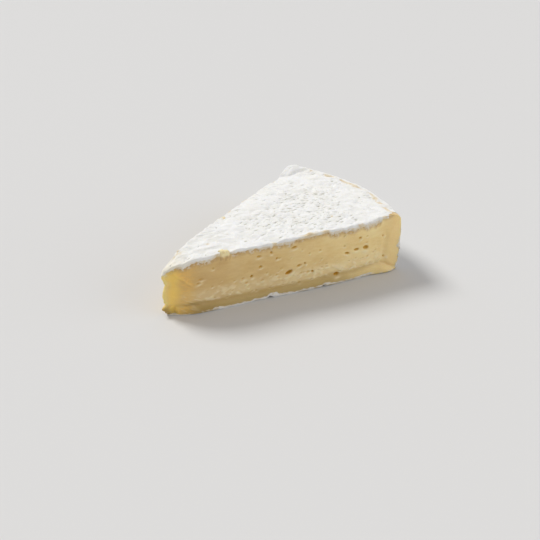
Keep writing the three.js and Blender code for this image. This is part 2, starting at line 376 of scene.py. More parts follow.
# Eyes of the front cut: place from the nose, height, half width, half height, slant, depth
FRONT_EYES = [
    (15.0, 20.1, 1.5, 0.6, 0.2, 0.5), (13.8, 18.2, 1.5, 0.6, 0.4, 0.5), (21.2, 25.2, 0.8, 0.5, 0.1, 0.5),
    (36.9, 15.3, 1.1, 0.55, 0.0, 0.5), (41.8, 15.5, 0.8, 0.85, 0.2, 1.3), (38.9, 12.2, 0.8, 0.5, 0.3, 0.5),
    (45.6, 26.4, 1.3, 0.6, 0.1, 0.8), (52.1, 27.5, 0.8, 0.7, 0.0, 0.8), (46.4, 20.2, 1.1, 0.6, 0.2, 0.9),
    (55.0, 23.6, 0.8, 0.6, 0.3, 0.7), (64.2, 28.2, 1.7, 0.65, 0.2, 1.0), (61.7, 13.8, 1.95, 1.15, 0.45, 2.3),
    (67.1, 16.9, 1.4, 0.65, 0.4, 0.8), (70.4, 17.6, 0.6, 0.7, 0.5, 0.8), (74.9, 11.7, 0.75, 0.85, 0.9, 1.3),
    (72.7, 23.2, 0.75, 0.5, 0.4, 0.4), (78.6, 23.9, 0.8, 0.45, 0.1, 0.6), (68.6, 26.2, 0.5, 0.4, 0.0, 0.4),
    (89.7, 6.3, 1.6, 1.1, 0.1, 1.6), (57.4, 16.9, 0.75, 0.5, 0.3, 0.4), (44.4, 6.1, 0.9, 0.5, 0.3, 0.5),
    (67.9, 5.8, 0.8, 0.4, 0.2, 0.5), (95.4, 18.1, 1.6, 0.7, -0.35, 1.3), (101.3, 19.1, 1.6, 0.85, -0.1, 1.4),
    (107.4, 18.9, 1.8, 1.3, -0.1, 1.5), (103.1, 25.9, 1.0, 0.75, 0.4, 0.9), (107.7, 22.0, 1.2, 0.4, 0.0, 0.5),
    (93.6, 22.7, 0.9, 0.4, -0.2, 0.6), (118.4, 23.7, 0.6, 0.8, 0.9, 0.7), (120.0, 10.5, 0.6, 1.0, 1.1, 0.7),
    (92.9, 29.2, 0.7, 0.3, 0.5, 0.6), (105.9, 12.9, 0.5, 0.3, 0.3, 0.5), (79.9, 18.4, 0.6, 0.4, 0.3, 0.4),
]
BACK_EYE_COUNT = 30
SMALL_EYE_COUNT = 84


def draw_back_eyes():
    """Eyes of the back cut, spread along it by a seeded draw."""
    draw = np.random.default_rng(77)
    eyes = []
    for i in range(BACK_EYE_COUNT):
        x = lerp(12, 128, (i + 0.1 + 0.8 * draw.random()) / BACK_EYE_COUNT)
        z = lerp(8, 28, draw.random())
        half_width = lerp(0.5, 1.9, draw.random() ** 2)
        half_height = half_width * lerp(0.45, 0.8, draw.random())
        eyes.append((x, z, half_width, half_height, lerp(-0.4, 0.6, draw.random()), half_width * 0.85))
    return eyes


def draw_small_eyes(seed):
    """Small shallow pits of a cut, most of them in its lower half, higher up towards the rim."""
    draw = np.random.default_rng(seed)
    eyes = []
    for i in range(SMALL_EYE_COUNT):
        x = lerp(20, 118, (i + draw.random()) / SMALL_EYE_COUNT)
        low = lerp(5.5, 8.0, smooth(50, 95, x))
        z = low + 10.5 * draw.random() ** 1.4 + 8 * (draw.random() > 0.88)
        half_width = lerp(0.4, 1.0, draw.random() ** 1.5)
        half_height = half_width * lerp(0.4, 0.6, draw.random())
        eyes.append((x, z, half_width, half_height, lerp(-0.1, 0.5, draw.random()), 0.5 * half_width))
    return eyes


EYES = {FRONT: FRONT_EYES + draw_small_eyes(78), BACK: draw_back_eyes() + draw_small_eyes(79)}
EYE_LIP = 0.3
CUT_LENGTH_PER_X = 1.05


def eye_hollow(x, z, side):
    """How deep the eyes of a cut are at each place, and the soft lip that the knife left below each."""
    hollow = np.zeros_like(x)
    lips = np.zeros_like(x)
    for number, (eye_x, eye_z, half_width, half_height, slant, depth) in enumerate(EYES[side]):
        a, b = turned((x - eye_x) * CUT_LENGTH_PER_X, z - eye_z, slant)
        bend = 0.1 * np.sin(2 * np.arctan2(b / half_height, a / half_width) + number)
        share = np.hypot(a / half_width, b / half_height) * (1 + bend)
        steep_top = lerp(0.55, 1.0, smooth(-1.0, 0.6, b / half_height))
        hollow = np.maximum(hollow, depth * steep_top * np.clip(1.15 - share**2, 0, 1) ** 0.75)
        lip = EYE_LIP * min(1, 0.4 + depth) * bell(a, half_width * 1.3)
        lips = np.maximum(lips, lip * bell(b + half_height * 1.9, half_height * 0.9))
    return hollow, lips


def low_share(z):
    """1 in the lumpy band of a cut, above its foot strip, else 0."""
    return smooth(5.0, 7.5, z) * smooth(17, 10, z)


def paste_lumps(x, z, side):
    """The small slanted ridges that the knife left in the lower half of a cut, from 0 to 1."""
    a, b = turned(x, z, 0.22)
    ridges = smooth(0.0, 0.95, noise(a / 2.0, b, 1.2, 61 + side))
    nubs = smooth(0.2, 0.75, noise(a / 1.4, b, 1.7, 76 + side))
    a, b = turned(x, z, -0.45)
    fibres = smooth(0.0, 0.7, noise(a / 3.5, b, 0.7, 66 + side))
    patchy = smooth(-0.3, 0.35, noise(x / 1.6, z, 6.5, 71 + side))
    beside_nose = smooth(19, 12, x) * smooth(4.5, 7.5, x) * smooth(1.0, 3.0, z) * smooth(15, 9, z)
    lumps = np.maximum(ridges * patchy, nubs) * low_share(z) * smooth(10, 19, x) * smooth(126, 114, x)
    return lumps + 0.85 * fibres * beside_nose


def crease_height(x, side):
    """Height of the groove above the foot strip."""
    if side == BACK:
        return BACK_CREASE_HEIGHT + 0.8 * wave(x, 14, 53)
    return np.interp(x, *CREASE) + 0.35 * wave(x, 9, 52)


def front_forms(x, z):
    """Forms that only the front cut has: the fold before the rim, the flared toe, and by the nose a groove
    below two folds."""
    fold = -0.45 * bell(x - 119.8 - 0.5 * wave(z, 6, 3), 1.7) * smooth(5, 10, z) * smooth(30, 22, z)
    rim_swell = 0.8 * smooth(114, 127, x)
    toe_top = crease_height(x, FRONT)
    toe = 1.6 * smooth(108, 121, x) * smooth(137, 129, x) * smooth(toe_top + 0.8, toe_top - 4.2, z)
    nose_groove = -1.2 * bell(x - 2.8 - 0.1 * z, 0.8) * smooth(7, 4.5, z) * smooth(0.6, 2.0, z)
    nose_fold = 0.75 * bell(x - 6.3 + 0.9 * (z - 22), 0.9) * bell(z - 22, 3.0)
    second_fold = 0.45 * bell(x - 9.2 + 0.9 * (z - 18.5), 0.8) * bell(z - 18.5, 2.2)
    pocket = -0.7 * bell(x - 10.5, 1.6) * bell(z - 5.6, 0.9)
    return fold + rim_swell + toe + nose_groove + (nose_fold + second_fold) + pocket


def plain_relief(x, z, side):
    """How far the paste of a cut stands out from the cut's line in plan, leaving out its eyes."""
    above = z - crease_height(x, side)
    upper_reach = lerp(2.2, 1.1, smooth(114, 124, x))
    groove = np.where(above > 0, bell(above, upper_reach), bell(above, 1.0))
    groove = CREASE_DEPTH * (groove * (smooth(3, 12, x) * smooth(133, 122, x)))
    inset = FACE_INSET * smooth(-1.2, 1.8, above) * smooth(1, 8, x) * lerp(1, 0.4, smooth(118, 126, x))
    bulge = BARE_BULGE * lip_bareness(x, side) * bell(z - 0.92 * thickness(x, 0 * x), 3.0)
    uneven = 0.32 * noise(x, z, 13, 54 + side) + 0.14 * noise(x / 1.5, z, 4, 56 + side)
    fine = 0.05 * noise(x / 2.2, z, 1.1, 58 + side)
    relief = bulge + uneven + fine + LUMP_HEIGHT * paste_lumps(x, z, side) - inset - groove
    return relief + front_forms(x, z) if side == FRONT else relief


# The rind's relief
MAT_ANGLE = -0.3
PIT_DEPTH = 0.5
WRINKLE_DEPTH = 0.42
CREASES_DEPTH = 0.33
TEETH_DEPTH = 0.5
DEEPEST_MARK = 0.9
WORN_DEPTH = 0.35
MOUND_HEIGHT = 0.75
TIP_BUMP_HEIGHT = 1.2
KNOB_HEIGHT = 15.7
FRONT_CORNER_ANGLE = -0.61
# The three parts of the worn line along the rim's crest, from the front corner: share, distance inward,
# reach, the degrees between which it starts, those between which it ends, and the noise that tears it
CREST_PARTS = [
    (1.0, 0.0, 1.45, (-35, -31), (-13, -17), (-1.0, -0.1)),
    (0.8, 1.1, 1.5, (-15, -11), (8, 4), (-0.7, 0.0)),
    (0.5, 0.0, 1.0, (11, 14), (24, 19), (-0.4, 0.2)),
]


def pit_chance(x, y):
    """Share of the mat's marks that show: many in the middle of the top, few near the nose and on the plain
    place by the raised corner."""
    dense = smooth(48, 68, x) * smooth(140, 118, x)
    middle = bell(y + 6, 34)
    plain = 1 - 0.85 * bell(np.hypot(x - 124, y - 27), 13)
    return (0.1 + 0.62 * dense * middle * smooth(-0.7, 0.2, noise(x, y, 16, 81)) + 0.1 * dense) * plain


def pits(x, y):
    """Marks that the draining mat left in the top: 1 in the middle of a mark, 0 between them."""
    chance = pit_chance(x, y)
    dashes = strokes(x, y, MAT_ANGLE, (3.9, 1.8), (1.5, 0.3), 82, chance)
    dots = strokes(x, y, MAT_ANGLE + 1.2, (3.1, 2.8), (0.5, 0.3), 83, 0.4 * chance)
    return np.maximum(dashes, dots) * smooth(0.6, 2.0, from_edge(x, y))


def wrinkles(x, y):
    """Long soft folds towards the nose and beside the front cut, from 0 to 1."""
    a, b = turned(x, y, -0.28)
    lines = smooth(0.2, 0.7, noise(a / 7, b, 1.7, 84)) * smooth(84, 24, x)
    return lines * smooth(-0.5, 0.2, noise(x, y, 11, 85))


def creases(x, y):
    """Fine creases of the bloom, which join up into an uneven net, from 0 to 1."""
    a, b = turned(x, y, MAT_ANGLE)
    bent = 0.8 * noise(a, b, 6, 95)
    lines = smooth(0.16, 0.0, np.abs(noise(a / 1.9, b + bent, 4.2, 96)))
    short = smooth(0.2, 0.0, np.abs(noise(a / 2.4, b - bent, 2.4, 97)))
    patchy = smooth(-0.1, 0.45, noise(a, b, 9, 98))
    return np.maximum(lines * patchy, 0.7 * short * smooth(0.1, 0.6, noise(a, b, 6.5, 99)))


def crest_teeth(x, y):
    """The row of short marks along the inner side of the rim's crest."""
    radius, angle = polar(x, y)
    arc = angle * CREST_RADIUS
    uneven = arc + 0.9 * noise(arc, radius, 5, 86)
    there = smooth(-0.35, 0.25, wave(arc, 7, 87))
    return bell(radius - 96.4, 1.7) * smooth(0.45, 1.0, np.cos(2 * np.pi * uneven / 2.1)) * there


def slow_relief(x, y):
    """The slow swells of the top and its dip beside the nose, which the paste under the rind has too."""
    beside_nose = 1.2 * bell(x - 8, 6) * smooth(4.5, 1.0, from_cut(x, y, BACK))
    return 0.34 * noise(x, y, 15, 91) - beside_nose


def tip_bump(x, y):
    """The small rough bump by the nose, at the back cut's edge, from 0 to 1."""
    return bell(np.hypot(x - 10.8, 0.9 * (y - 3.0)), 2.5)


def worn_crest(x, y):
    """The line along the rim's crest where the bloom is rubbed off."""
    radius, angle = polar(x, y)
    angle = np.degrees(angle)
    line = 98.9 + 0.17 * smooth(-27, -15, angle) * (angle + 27) * smooth(-8, -14, angle)
    off_line = radius - line - 0.8 * noise(x, y, 5, 143) - 0.5 * noise(x, y, 1.8, 144)
    torn = noise(x, y, 2.2, 141)
    worn_share = 0 * x
    for share, inward, reach, start, end, gaps in CREST_PARTS:
        part = share * bell(off_line + inward, reach) * smooth(*start, angle)
        worn_share = worn_share + part * smooth(*end, angle) * smooth(*gaps, torn)
    return worn_share


def top_relief(x, y):
    """Relief of the rind's top, in millimetres."""
    mounds = np.abs(noise(x, y, 7, 92))
    soft = slow_relief(x, y) + MOUND_HEIGHT * (mounds - 0.3) + 0.33 * noise(x, y, 2.9, 93)
    felt = 0.09 * noise(x, y, 1.3, 94) + tip_bump(x, y) * (TIP_BUMP_HEIGHT + 0.5 * noise(x, y, 1.0, 90))
    edge_lumps = 0.3 * noise(x, y, 1.9, 89) * smooth(3.2, 0.4, from_edge(x, y))
    marks = PIT_DEPTH * pits(x, y) + WRINKLE_DEPTH * wrinkles(x, y)
    marks = marks + CREASES_DEPTH * creases(x, y) + TEETH_DEPTH * crest_teeth(x, y)
    marks = DEEPEST_MARK * np.tanh(marks / DEEPEST_MARK)
    return soft + felt + edge_lumps - marks - WORN_DEPTH * worn_crest(x, y)


def rim_relief(arc, z):
    """Relief of the rind's rim, in millimetres."""
    soft = 0.5 * noise(arc, 1.6 * z, 12, 101) + 0.5 * (np.abs(noise(arc, 1.3 * z, 5.5, 102)) - 0.3)
    bands = 0.28 * noise(arc / 5, z, 2.4, 103)
    felt = 0.08 * noise(arc, z, 1.2, 104) + 0.12 * noise(arc, z, 2.6, 107)
    marks = 0.42 * strokes(arc, z, 0.1, (4.2, 2.6), (1.3, 0.4), 105, 0.45)
    from_corner = arc - FRONT_CORNER_ANGLE * CREST_RADIUS
    corner = (0.1 + 0.35 * wave(z, 2.4, 106)) * smooth(7, 1, from_corner) * smooth(27, 20, z)
    knob = 0.8 * bell(from_corner, 2.2) * bell(z - KNOB_HEIGHT, 1.6)
    return soft + bands + felt + corner + knob - marks


# Meshes
WELD_METRES = 1e-7
ALONG_SAMPLES = 4000
WIDTH_SAMPLES = 9


class Surface:
    """Points and triangles of one closed piece, with each point's share of every tone."""

    def __init__(self, tones):
        self.tones = {tone: [] for tone in tones}
        self.points = []
        self.faces = []
        self.count = 0

    def add(self, points, **tones):
        """Adds a row or a grid of points and gives their numbers. A tone that isn't named is 0 there."""
        numbers = np.arange(self.count, self.count + points[..., 0].size).reshape(points.shape[:-1])
        self.points.append(points.reshape(-1, 3))
        for tone, parts in self.tones.items():
            parts.append(np.broadcast_to(tones.get(tone, 0.0), numbers.shape).ravel())
        self.count += numbers.size
        return numbers

    def stitch(self, row_a, row_b, place_a, place_b):
        """Triangles between two rows, whatever their counts of points. A place says how far along its row a
        point lies."""
        middle_a = (place_a[1:] + place_a[:-1]) / 2
        middle_b = (place_b[1:] + place_b[:-1]) / 2
        opposite_b = np.searchsorted(middle_b, middle_a, side="left")
        opposite_a = np.searchsorted(middle_a, middle_b, side="right")
        self.faces.append(np.stack([row_a[:-1], row_a[1:], row_b[opposite_b]], 1))
        self.faces.append(np.stack([row_b[1:], row_b[:-1], row_a[opposite_a]], 1))

    def grid(self, numbers):
        """Triangles over a whole grid of points."""
        a, b, c, d = numbers[:-1, :-1], numbers[1:, :-1], numbers[1:, 1:], numbers[:-1, 1:]
        self.faces.append(np.stack([a, b, c], -1).reshape(-1, 3))
        self.faces.append(np.stack([a, c, d], -1).reshape(-1, 3))

    def piece(self, name):
        """The finished object, in metres in the CAD frame."""
        points = with_nose_forms(np.concatenate(self.points)) - BASE_MIDDLE
        points[:, 2] = np.maximum(points[:, 2], 0)
        mesh = bpy.data.meshes.new(name)
        mesh.from_pydata((points * METRES_PER_MM).tolist(), [], np.concatenate(self.faces).tolist())
        for tone, parts in self.tones.items():
            attribute = mesh.attributes.new(tone, "FLOAT", "POINT")
            attribute.data.foreach_set("value", np.concatenate(parts).astype(np.float32))
        weld(mesh)
        made = bpy.data.objects.new(name, mesh)
        bpy.context.scene.collection.objects.link(made)
        return made


def weld(mesh):
    """Joins points that lie on each other, turns the faces outward and shades them smooth."""
    work = bmesh.new()
    work.from_mesh(mesh)
    bmesh.ops.remove_doubles(work, verts=work.verts, dist=WELD_METRES)
    bmesh.ops.recalc_face_normals(work, faces=work.faces)
    work.to_mesh(mesh)
    work.free()
    mesh.shade_smooth()


def length_so_far(a, b):
    """Length of a curve up to each of its points."""
    return np.concatenate([[0], np.cumsum(np.hypot(np.diff(a), np.diff(b)))])


def spread_along(count):
    """Places along the wedge, evenly spaced along the front cut."""
    along = np.linspace(0, 1, ALONG_SAMPLES)
    length = length_so_far(*plan_point(along, 0 * along, 0 * along))
    return np.interp(np.linspace(0, length[-1], count + 1), length, along)


def row_width(along, drop):
    """Length of a row in plan, from the front cut to the back cut."""
    along, drop = np.broadcast_arrays(*(np.asarray(value, float)[..., None] for value in (along, drop)))
    across = np.broadcast_to(np.linspace(0, 1, WIDTH_SAMPLES), along.shape[:-1] + (WIDTH_SAMPLES,))
    x, y = plan_point(along, across, drop)
    return np.sum(np.hypot(np.diff(x), np.diff(y)), -1)


# Paste
PASTE_ROWS_ALONG = 400
PASTE_LEVELS = 90
PASTE_EDGE_STEPS = np.array([0, 0.5, 1.0, 1.6, 2.4, 3.4, 5.0])
PASTE_MIDDLE_STEPS = 14
PASTE_SQUEEZE_WIDTH = 14.0
PASTE_UNDER_RIND = 1.0
PASTE_DEEPER_MIDDLE = 0.45
PASTE_OVER_BASE = 0.6
PASTE_RIM_INSET = 0.8
PASTE_EDGE_ROUND = 1.1
BARE_RISE = 0.25
RELIEF_DEPTH = 3.0
WIDTH_PER_REACH = 0.64
PASTE_TONES = (
    "along", "foot", "hollow", "pale_lump_and_highlight", "bloom", "creamline_and_shade", "amber_glow", "facet_glow", "skin", "toe", "rim_warmth",
    "crease_shade", "bare", "streak",
)


def paste_across(width):
    """Places across the paste for rows of these widths, close together near both cuts."""
    near = PASTE_EDGE_STEPS * np.minimum(1, width / PASTE_SQUEEZE_WIDTH)[:, None]
    far = width[:, None] - near[:, ::-1]
    share = np.linspace(0, 1, PASTE_MIDDLE_STEPS + 1)[None, 1:-1]
    middle = lerp(near[:, -1:], far[:, :1], share)
    return np.concatenate([near, middle, far], 1) / width[:, None]


def bare_share(x, y):
    """Share of the paste's top that lies bare, where the rind draws back from a cut."""
    shares = [lip_bareness(x, side) * smooth(4.6, 2.6, from_cut(x, y, side)) for side in (FRONT, BACK)]
    return np.maximum(*shares)


def crumb_share(x, y, level):
    """Share of the crumb at the front cut's edge."""
    place, reach, depth, _ = CRUMB
    crumb = bell(x - place, reach) * bell(from_cut(x, y, FRONT) - 0.8, depth) * smooth(0.2, 0.6, level)
    return np.clip(1.3 * crumb * (1 + 0.6 * noise(x, y, 1.5, 113)), 0, 1)


def paste_top(x, y, bare, crumb, at_corner):
    """Height of the paste's top: a step under the rind, and level with it or above where it lies bare."""
    top = top_height(x, y) + slow_relief(x, y) - PASTE_UNDER_RIND
    top = top - PASTE_DEEPER_MIDDLE * smooth(3, 6, from_edge(x, y))
    top = top + crumb * (PASTE_UNDER_RIND + CRUMB[-1] * (1 + 0.4 * noise(x, y, 0.9, 114)))
    lumpy = (0.5 * noise(x, y, 2.2, 111) + 0.35 * noise(x, y, 1.1, 112)) * smooth(34, 26, x)
    return top + bare * (PASTE_UNDER_RIND + BARE_RISE + lumpy) + at_corner * PASTE_UNDER_RIND


def edge_rounding(below_top):
    """How far the rounded edge of the paste draws in, at a depth below its top."""
    into_round = np.minimum(np.maximum(0, PASTE_EDGE_ROUND - below_top), PASTE_EDGE_ROUND)
    return PASTE_EDGE_ROUND - np.sqrt(PASTE_EDGE_ROUND**2 - into_round**2)


def paste_points(along, across, level):
    """Points of the paste's surface, and their shares of its tones."""
    drop = RIM_THICKNESS * (1 - level)
    x, y = plan_point(along, across, drop, PASTE_RIM_INSET)
    gap = corner_gap(x, drop)
    at_corner = smooth(0.1, 0.6, gap) * smooth(gap + 1.4, gap + 0.2, from_cut(x, y, FRONT))
    bare = bare_share(x, y)
    crumb = crumb_share(x, y, level)
    top = paste_top(x, y, bare, crumb, at_corner)
    z = lerp(foot_height(x, y) + PASTE_OVER_BASE, top, level)
    rounding = edge_rounding(top - z) * (1 - 0.7 * at_corner)
    points = np.stack([x, y, z], -1)
    tones = {tone: 0 * x for tone in PASTE_TONES}
    width = np.hypot(x - NOSE_ROUND, y) * WIDTH_PER_REACH + 2 * NOSE_HALF_WIDTH
    for side in (FRONT, BACK):
        on_side = smooth(np.minimum(RELIEF_DEPTH, width), 0, from_cut(x, y, side))
        normal_x, normal_y = cut_normal(x, side)
        hollow, lips = eye_hollow(x, z, side)
        out = (plain_relief(x, z, side) + lips - hollow - rounding) * on_side
        points = points + np.stack([normal_x, normal_y, 0 * x], -1) * out[..., None]
        for tone, share in cut_tones(x, z, top, hollow, lips, side).items():
            tones[tone] = np.maximum(tones[tone], share * on_side)
    below = thickness(x, y) - z
    tones["bare"] = np.maximum(bare, crumb) * smooth(2.7, 0.9, below)
    tones["streak"] = bell(x - CRUMB[0] - 1, 5.5) * smooth(4.8, 3.0, below) * smooth(1.1, 2.0, below)
    return points, tones


def amber_glow_share(x, z):
    """The painted glow of light shining through the thin paste beside the nose, a deeper ochre: a band, a
    spot under the rind, a streak at the foot and one at the fold."""
    band = 0.8 * bell(x - 8.0, 4.2)
    spot = 1.0 * bell(x - 4.2, 1.8) * bell(z - 25.4, 1.6)
    streak = 0.6 * bell(x - 5, 4) * bell(z - 3.2, 1.6)
    fold = 0.5 * bell(x - 7.4 + 0.9 * (z - 22), 1.0) * bell(z - 21.5, 3.0)
    return np.clip(band + spot + streak + fold, 0, 1)


def toe_and_shade_share(x, z):
    """The dark tone of the nose's toe, and painted shade on the foot behind it and in the groove above that.
    """
    toe = bell(x - 0.6, 2.2) * smooth(6.5, 4, z)
    foot = 0.55 * bell(x - 15, 8) * smooth(5.5, 3.5, z)
    groove = 0.6 * bell(x - 10.5, 6.5) * bell(z - 6.1, 1.0)
    return np.maximum.reduce([toe, foot, groove])


def cut_tones(x, z, top, hollow, lips, side):
    """Shares of each tone of the paste on a cut."""
    below_lip = top - z - np.maximum(lip_length(x, side), 0)
    above = z - crease_height(x, side)
    speck = smooth(0.15, 0.6, noise(x / 0.8, z, 0.9, 121)) * smooth(2.4, 0.2, below_lip)
    foot_speck = smooth(0.1, 0.6, noise(x, z, 1.1, 123)) * smooth(2.2, 0.4, z)
    lumpy = 0.4 * low_share(z) * smooth(3, 17, x) * smooth(124, 112, x) + 0.55 * paste_lumps(x, z, side)
    return {
        # Painted shade and bounced light inside the eyes: a deeper, more saturated amber
        "hollow": smooth(0.08, 0.7, hollow),
        # Paler creamy lumps in the low band, with painted highlight on the ridges that stand out and on the
        # soft lips below the eyes
        "pale_lump_and_highlight": np.clip(lumpy + lips / EYE_LIP, 0, 1),
        # Painted light: the paste grows lighter from the nose towards the rim, as the light falls on the cuts
        "along": np.clip((x - 15) / 90, 0, 1),
        "foot": smooth(0.9, -1.2, above) * smooth(3, 10, x) * smooth(112, 84, x),
        "bloom": np.maximum(speck, foot_speck),
        # The tan creamline under the rind, darkened by painted shade under its lip
        "creamline_and_shade": smooth(3.0, 0.0, below_lip) * smooth(0.5, 4.5, x),
        # Painted glow of light through the thin paste beside the nose
        "amber_glow": amber_glow_share(x, z),
        # Painted light on the nose's facet, which faces the light and glows through
        "facet_glow": smooth(7.6, 2.6, x - 0.04 * (z - 14) + 0.9 * noise(z, x, 3, 128)),
        "skin": smooth(2.8, 0.2, x + 0.4 * wave(z, 1.5, 127)),
        # The toe's dark tone, with painted shade on the foot and in the groove by the nose
        "toe": toe_and_shade_share(x, z),
        "rim_warmth": smooth(112, 128, x),
        # Painted shade along the groove above the foot strip
        "crease_shade": bell(above - 0.2, 1.3) * smooth(4, 12, x) * smooth(128, 100, x),
    }


def build_paste():
    """The paste: a closed box of six grids, moved onto the wedge."""
    along = spread_along(PASTE_ROWS_ALONG)
    level = np.linspace(0, 1, PASTE_LEVELS + 1)
    across = paste_across(row_width(along, 0 * along))
    surface = Surface(PASTE_TONES)
    for end in (0, -1):
        cut = np.broadcast_arrays(along[:, None], across[:, end][:, None], level[None, :])
        cap = np.broadcast_arrays(along[end], across[end][:, None], level[None, :])
        cover = np.broadcast_arrays(along[:, None], across, level[end])
        for grid in (cut, cap, cover):
            points, tones = paste_points(*grid)
            surface.grid(surface.add(points, **tones))
    return surface.piece("paste")


# Sheets of rind. The points round a sheet lie on its front cut, its far end, its back cut or its nose.
ON_FRONT, ON_FAR, ON_BACK, ON_NOSE = range(4)
EDGE_TURNS = 5
BAND_STEPS = 10
BAND_SHARES = np.minimum(1, np.arange(1, BAND_STEPS + 2) / BAND_STEPS)[:, None]
LIP_LUMPS = 0.22
LIP_BURIED = 0.5
INNER_STEP = 2.4
INNER_MARGIN = 1.2
RIM_SAMPLES = 3000
RIND_TONES = ("pit", "fold", "wear", "lip", "nose")


class Row:
    """One row of a rind sheet, from the front cut to the back cut."""

    def __init__(self, surface, points, normals, across, **tones):
        self.numbers = surface.add(points, **tones)
        self.points = points
        self.normals = normals
        self.across = across


def edge_arc(radius):
    """Distances from a rounded edge, and how far the surface sinks at each."""
    turns = np.linspace(0, math.pi / 2, EDGE_TURNS)
    return radius * (1 - np.cos(turns)), radius * (1 - np.sin(turns))


def across_steps(width, radius, step):
    """Places across a row, with both edges rounded, and how far the surface sinks at each."""
    radius = min(radius, 0.35 * width)
    distance, sink = edge_arc(radius)
    count = max(2, round((width - 2 * radius) / step) + 1)
    middle = np.linspace(radius, width - radius, count)[1:-1]
    distances = np.concatenate([distance, middle, (width - distance)[::-1]])
    return distances / width, np.concatenate([sink, 0 * middle, sink[::-1]])


def top_path(step):
    """Places of the rows over the top: along, drop below the crest, and degrees turned from facing up."""
    return [(along, 0.0, 0.0) for along in spread_along(round(FRONT_LENGTH / step))]


def rim_path(step, foot):
    """Places of the rows down the rim, evenly spaced along its curve to a height above the base."""
    drop = (RIM_THICKNESS - foot) * np.linspace(0, 1, RIM_SAMPLES) ** 2
    reach = rim_reach(drop, RIM_THICKNESS - drop)
    length = length_so_far(drop, reach)
    even = np.interp(np.linspace(0, length[-1], round(length[-1] / step) + 1), length, drop)[1:]
    turn = np.arctan2(np.gradient(drop, length), np.gradient(reach, length))
    return [(1.0, d, math.degrees(t)) for d, t in zip(even, np.interp(even, drop, turn))]


def base_path(step):
    """Places of the rows over the underside."""
    return [(along, RIM_THICKNESS, 180.0) for along in spread_along(round(FRONT_LENGTH / step))]


def row_on_form(place, across, inset):
    """Points of a row of the outer form, and their directions out."""
    along, drop, turn = place
    flat = 0 * across
    x, y = plan_point(along + flat, across, drop + flat, inset)
    z = (1 - drop / RIM_THICKNESS) * top_height(x, y)
    angle = polar(x, y)[1]
    out, up = math.sin(math.radians(turn)), math.cos(math.radians(turn))
    return np.stack([x, y, z], 1), np.stack([out * np.cos(angle), out * np.sin(angle), up + flat], 1)


def draw_back(place):
    """How far the sheet draws back from the front cut and the back cut."""
    along, drop, _ = place
    ends = np.array([0.0, 1.0])
    x, _ = plan_point(along + 0 * ends, ends, drop + 0 * ends)
    front, back = max(0, -lip_length(x, FRONT)[0]), max(0, -lip_length(x, BACK)[1])
    return max(front, corner_gap(x, drop)[0]), back


def fine_rows(surface, path, step, corner_radius, inset, relief, tones, drawn_back=True):
    """The outer rows of a rind sheet, with rounded edges and relief."""
    nose_distance, nose_sink = edge_arc(corner_radius)
    rows = []
    for place in path:
        width = float(row_width(place[0], place[1]))
        across, sink = across_steps(width, corner_radius, step)
        if drawn_back:
            front, back = draw_back(place)
            across = lerp(front / width, 1 - back / width, across)
        points, normals = row_on_form(place, across, inset)
        sink = np.maximum(sink, np.interp(place[0] * FRONT_LENGTH, nose_distance, nose_sink))
        moved = points + normals * (relief(points, normals) - sink)[:, None]
        rows.append(Row(surface, moved, normals, across, **tones(points, normals)))
    return rows


def inner_rows(surface, path, depth, inset):
    """The hidden inner rows of a rind sheet."""
    rows = []
    for place in path:
        width = float(row_width(place[0], place[1]))
        edge = min(INNER_MARGIN, 0.3 * width)
        count = max(2, round((width - 2 * edge) / INNER_STEP) + 1)
        across = np.linspace(edge / width, 1 - edge / width, count)
        points, normals = row_on_form(place, across, inset)
        rows.append(Row(surface, points - normals * depth, normals, across))
    return rows


def border(rows, key):
    """One value for each point round a sheet: along its front cut, far end, back cut and nose."""
    values = [getattr(row, key) for row in rows]
    front = np.array([value[0] for value in values])
    back = np.array([value[-1] for value in values])
    return np.concatenate([front, values[-1][1:-1], back[::-1], values[0][::-1][1:-1]])


def border_places(rows):
    """How far round the sheet each border point lies, 1 for each side, and last the first point again."""
    share = np.linspace(0, 1, len(rows))
    far = rows[-1].across[1:-1]
    nose = rows[0].across[::-1][1:-1]
    return np.concatenate([share, 1 + far, 2 + share, 4 - nose, [4]])


def border_sides(rows):
    """Which side each border point lies on."""
    counts = [len(rows), len(rows[-1].across) - 2, len(rows), len(rows[0].across) - 2]
    return np.repeat([ON_FRONT, ON_FAR, ON_BACK, ON_NOSE], counts)


def border_outward(rows, far_direction):
    """The direction out of the wedge at each border point."""
    points, sides, across = border(rows, "points"), border_sides(rows), border(rows, "across")
    front, back = (np.stack([*cut_normal(points[:, 0], side), 0 * across], 1) for side in (FRONT, BACK))
    start = np.arctan2(front[0, 1], front[0, 0]) % (2 * math.pi)
    end = np.arctan2(back[0, 1], back[0, 0])
    angle = lerp(start, end, across)
    nose = np.stack([np.cos(angle), np.sin(angle), 0 * angle], 1)
    return np.choose(sides[:, None], [front, far_direction(points), back, nose])


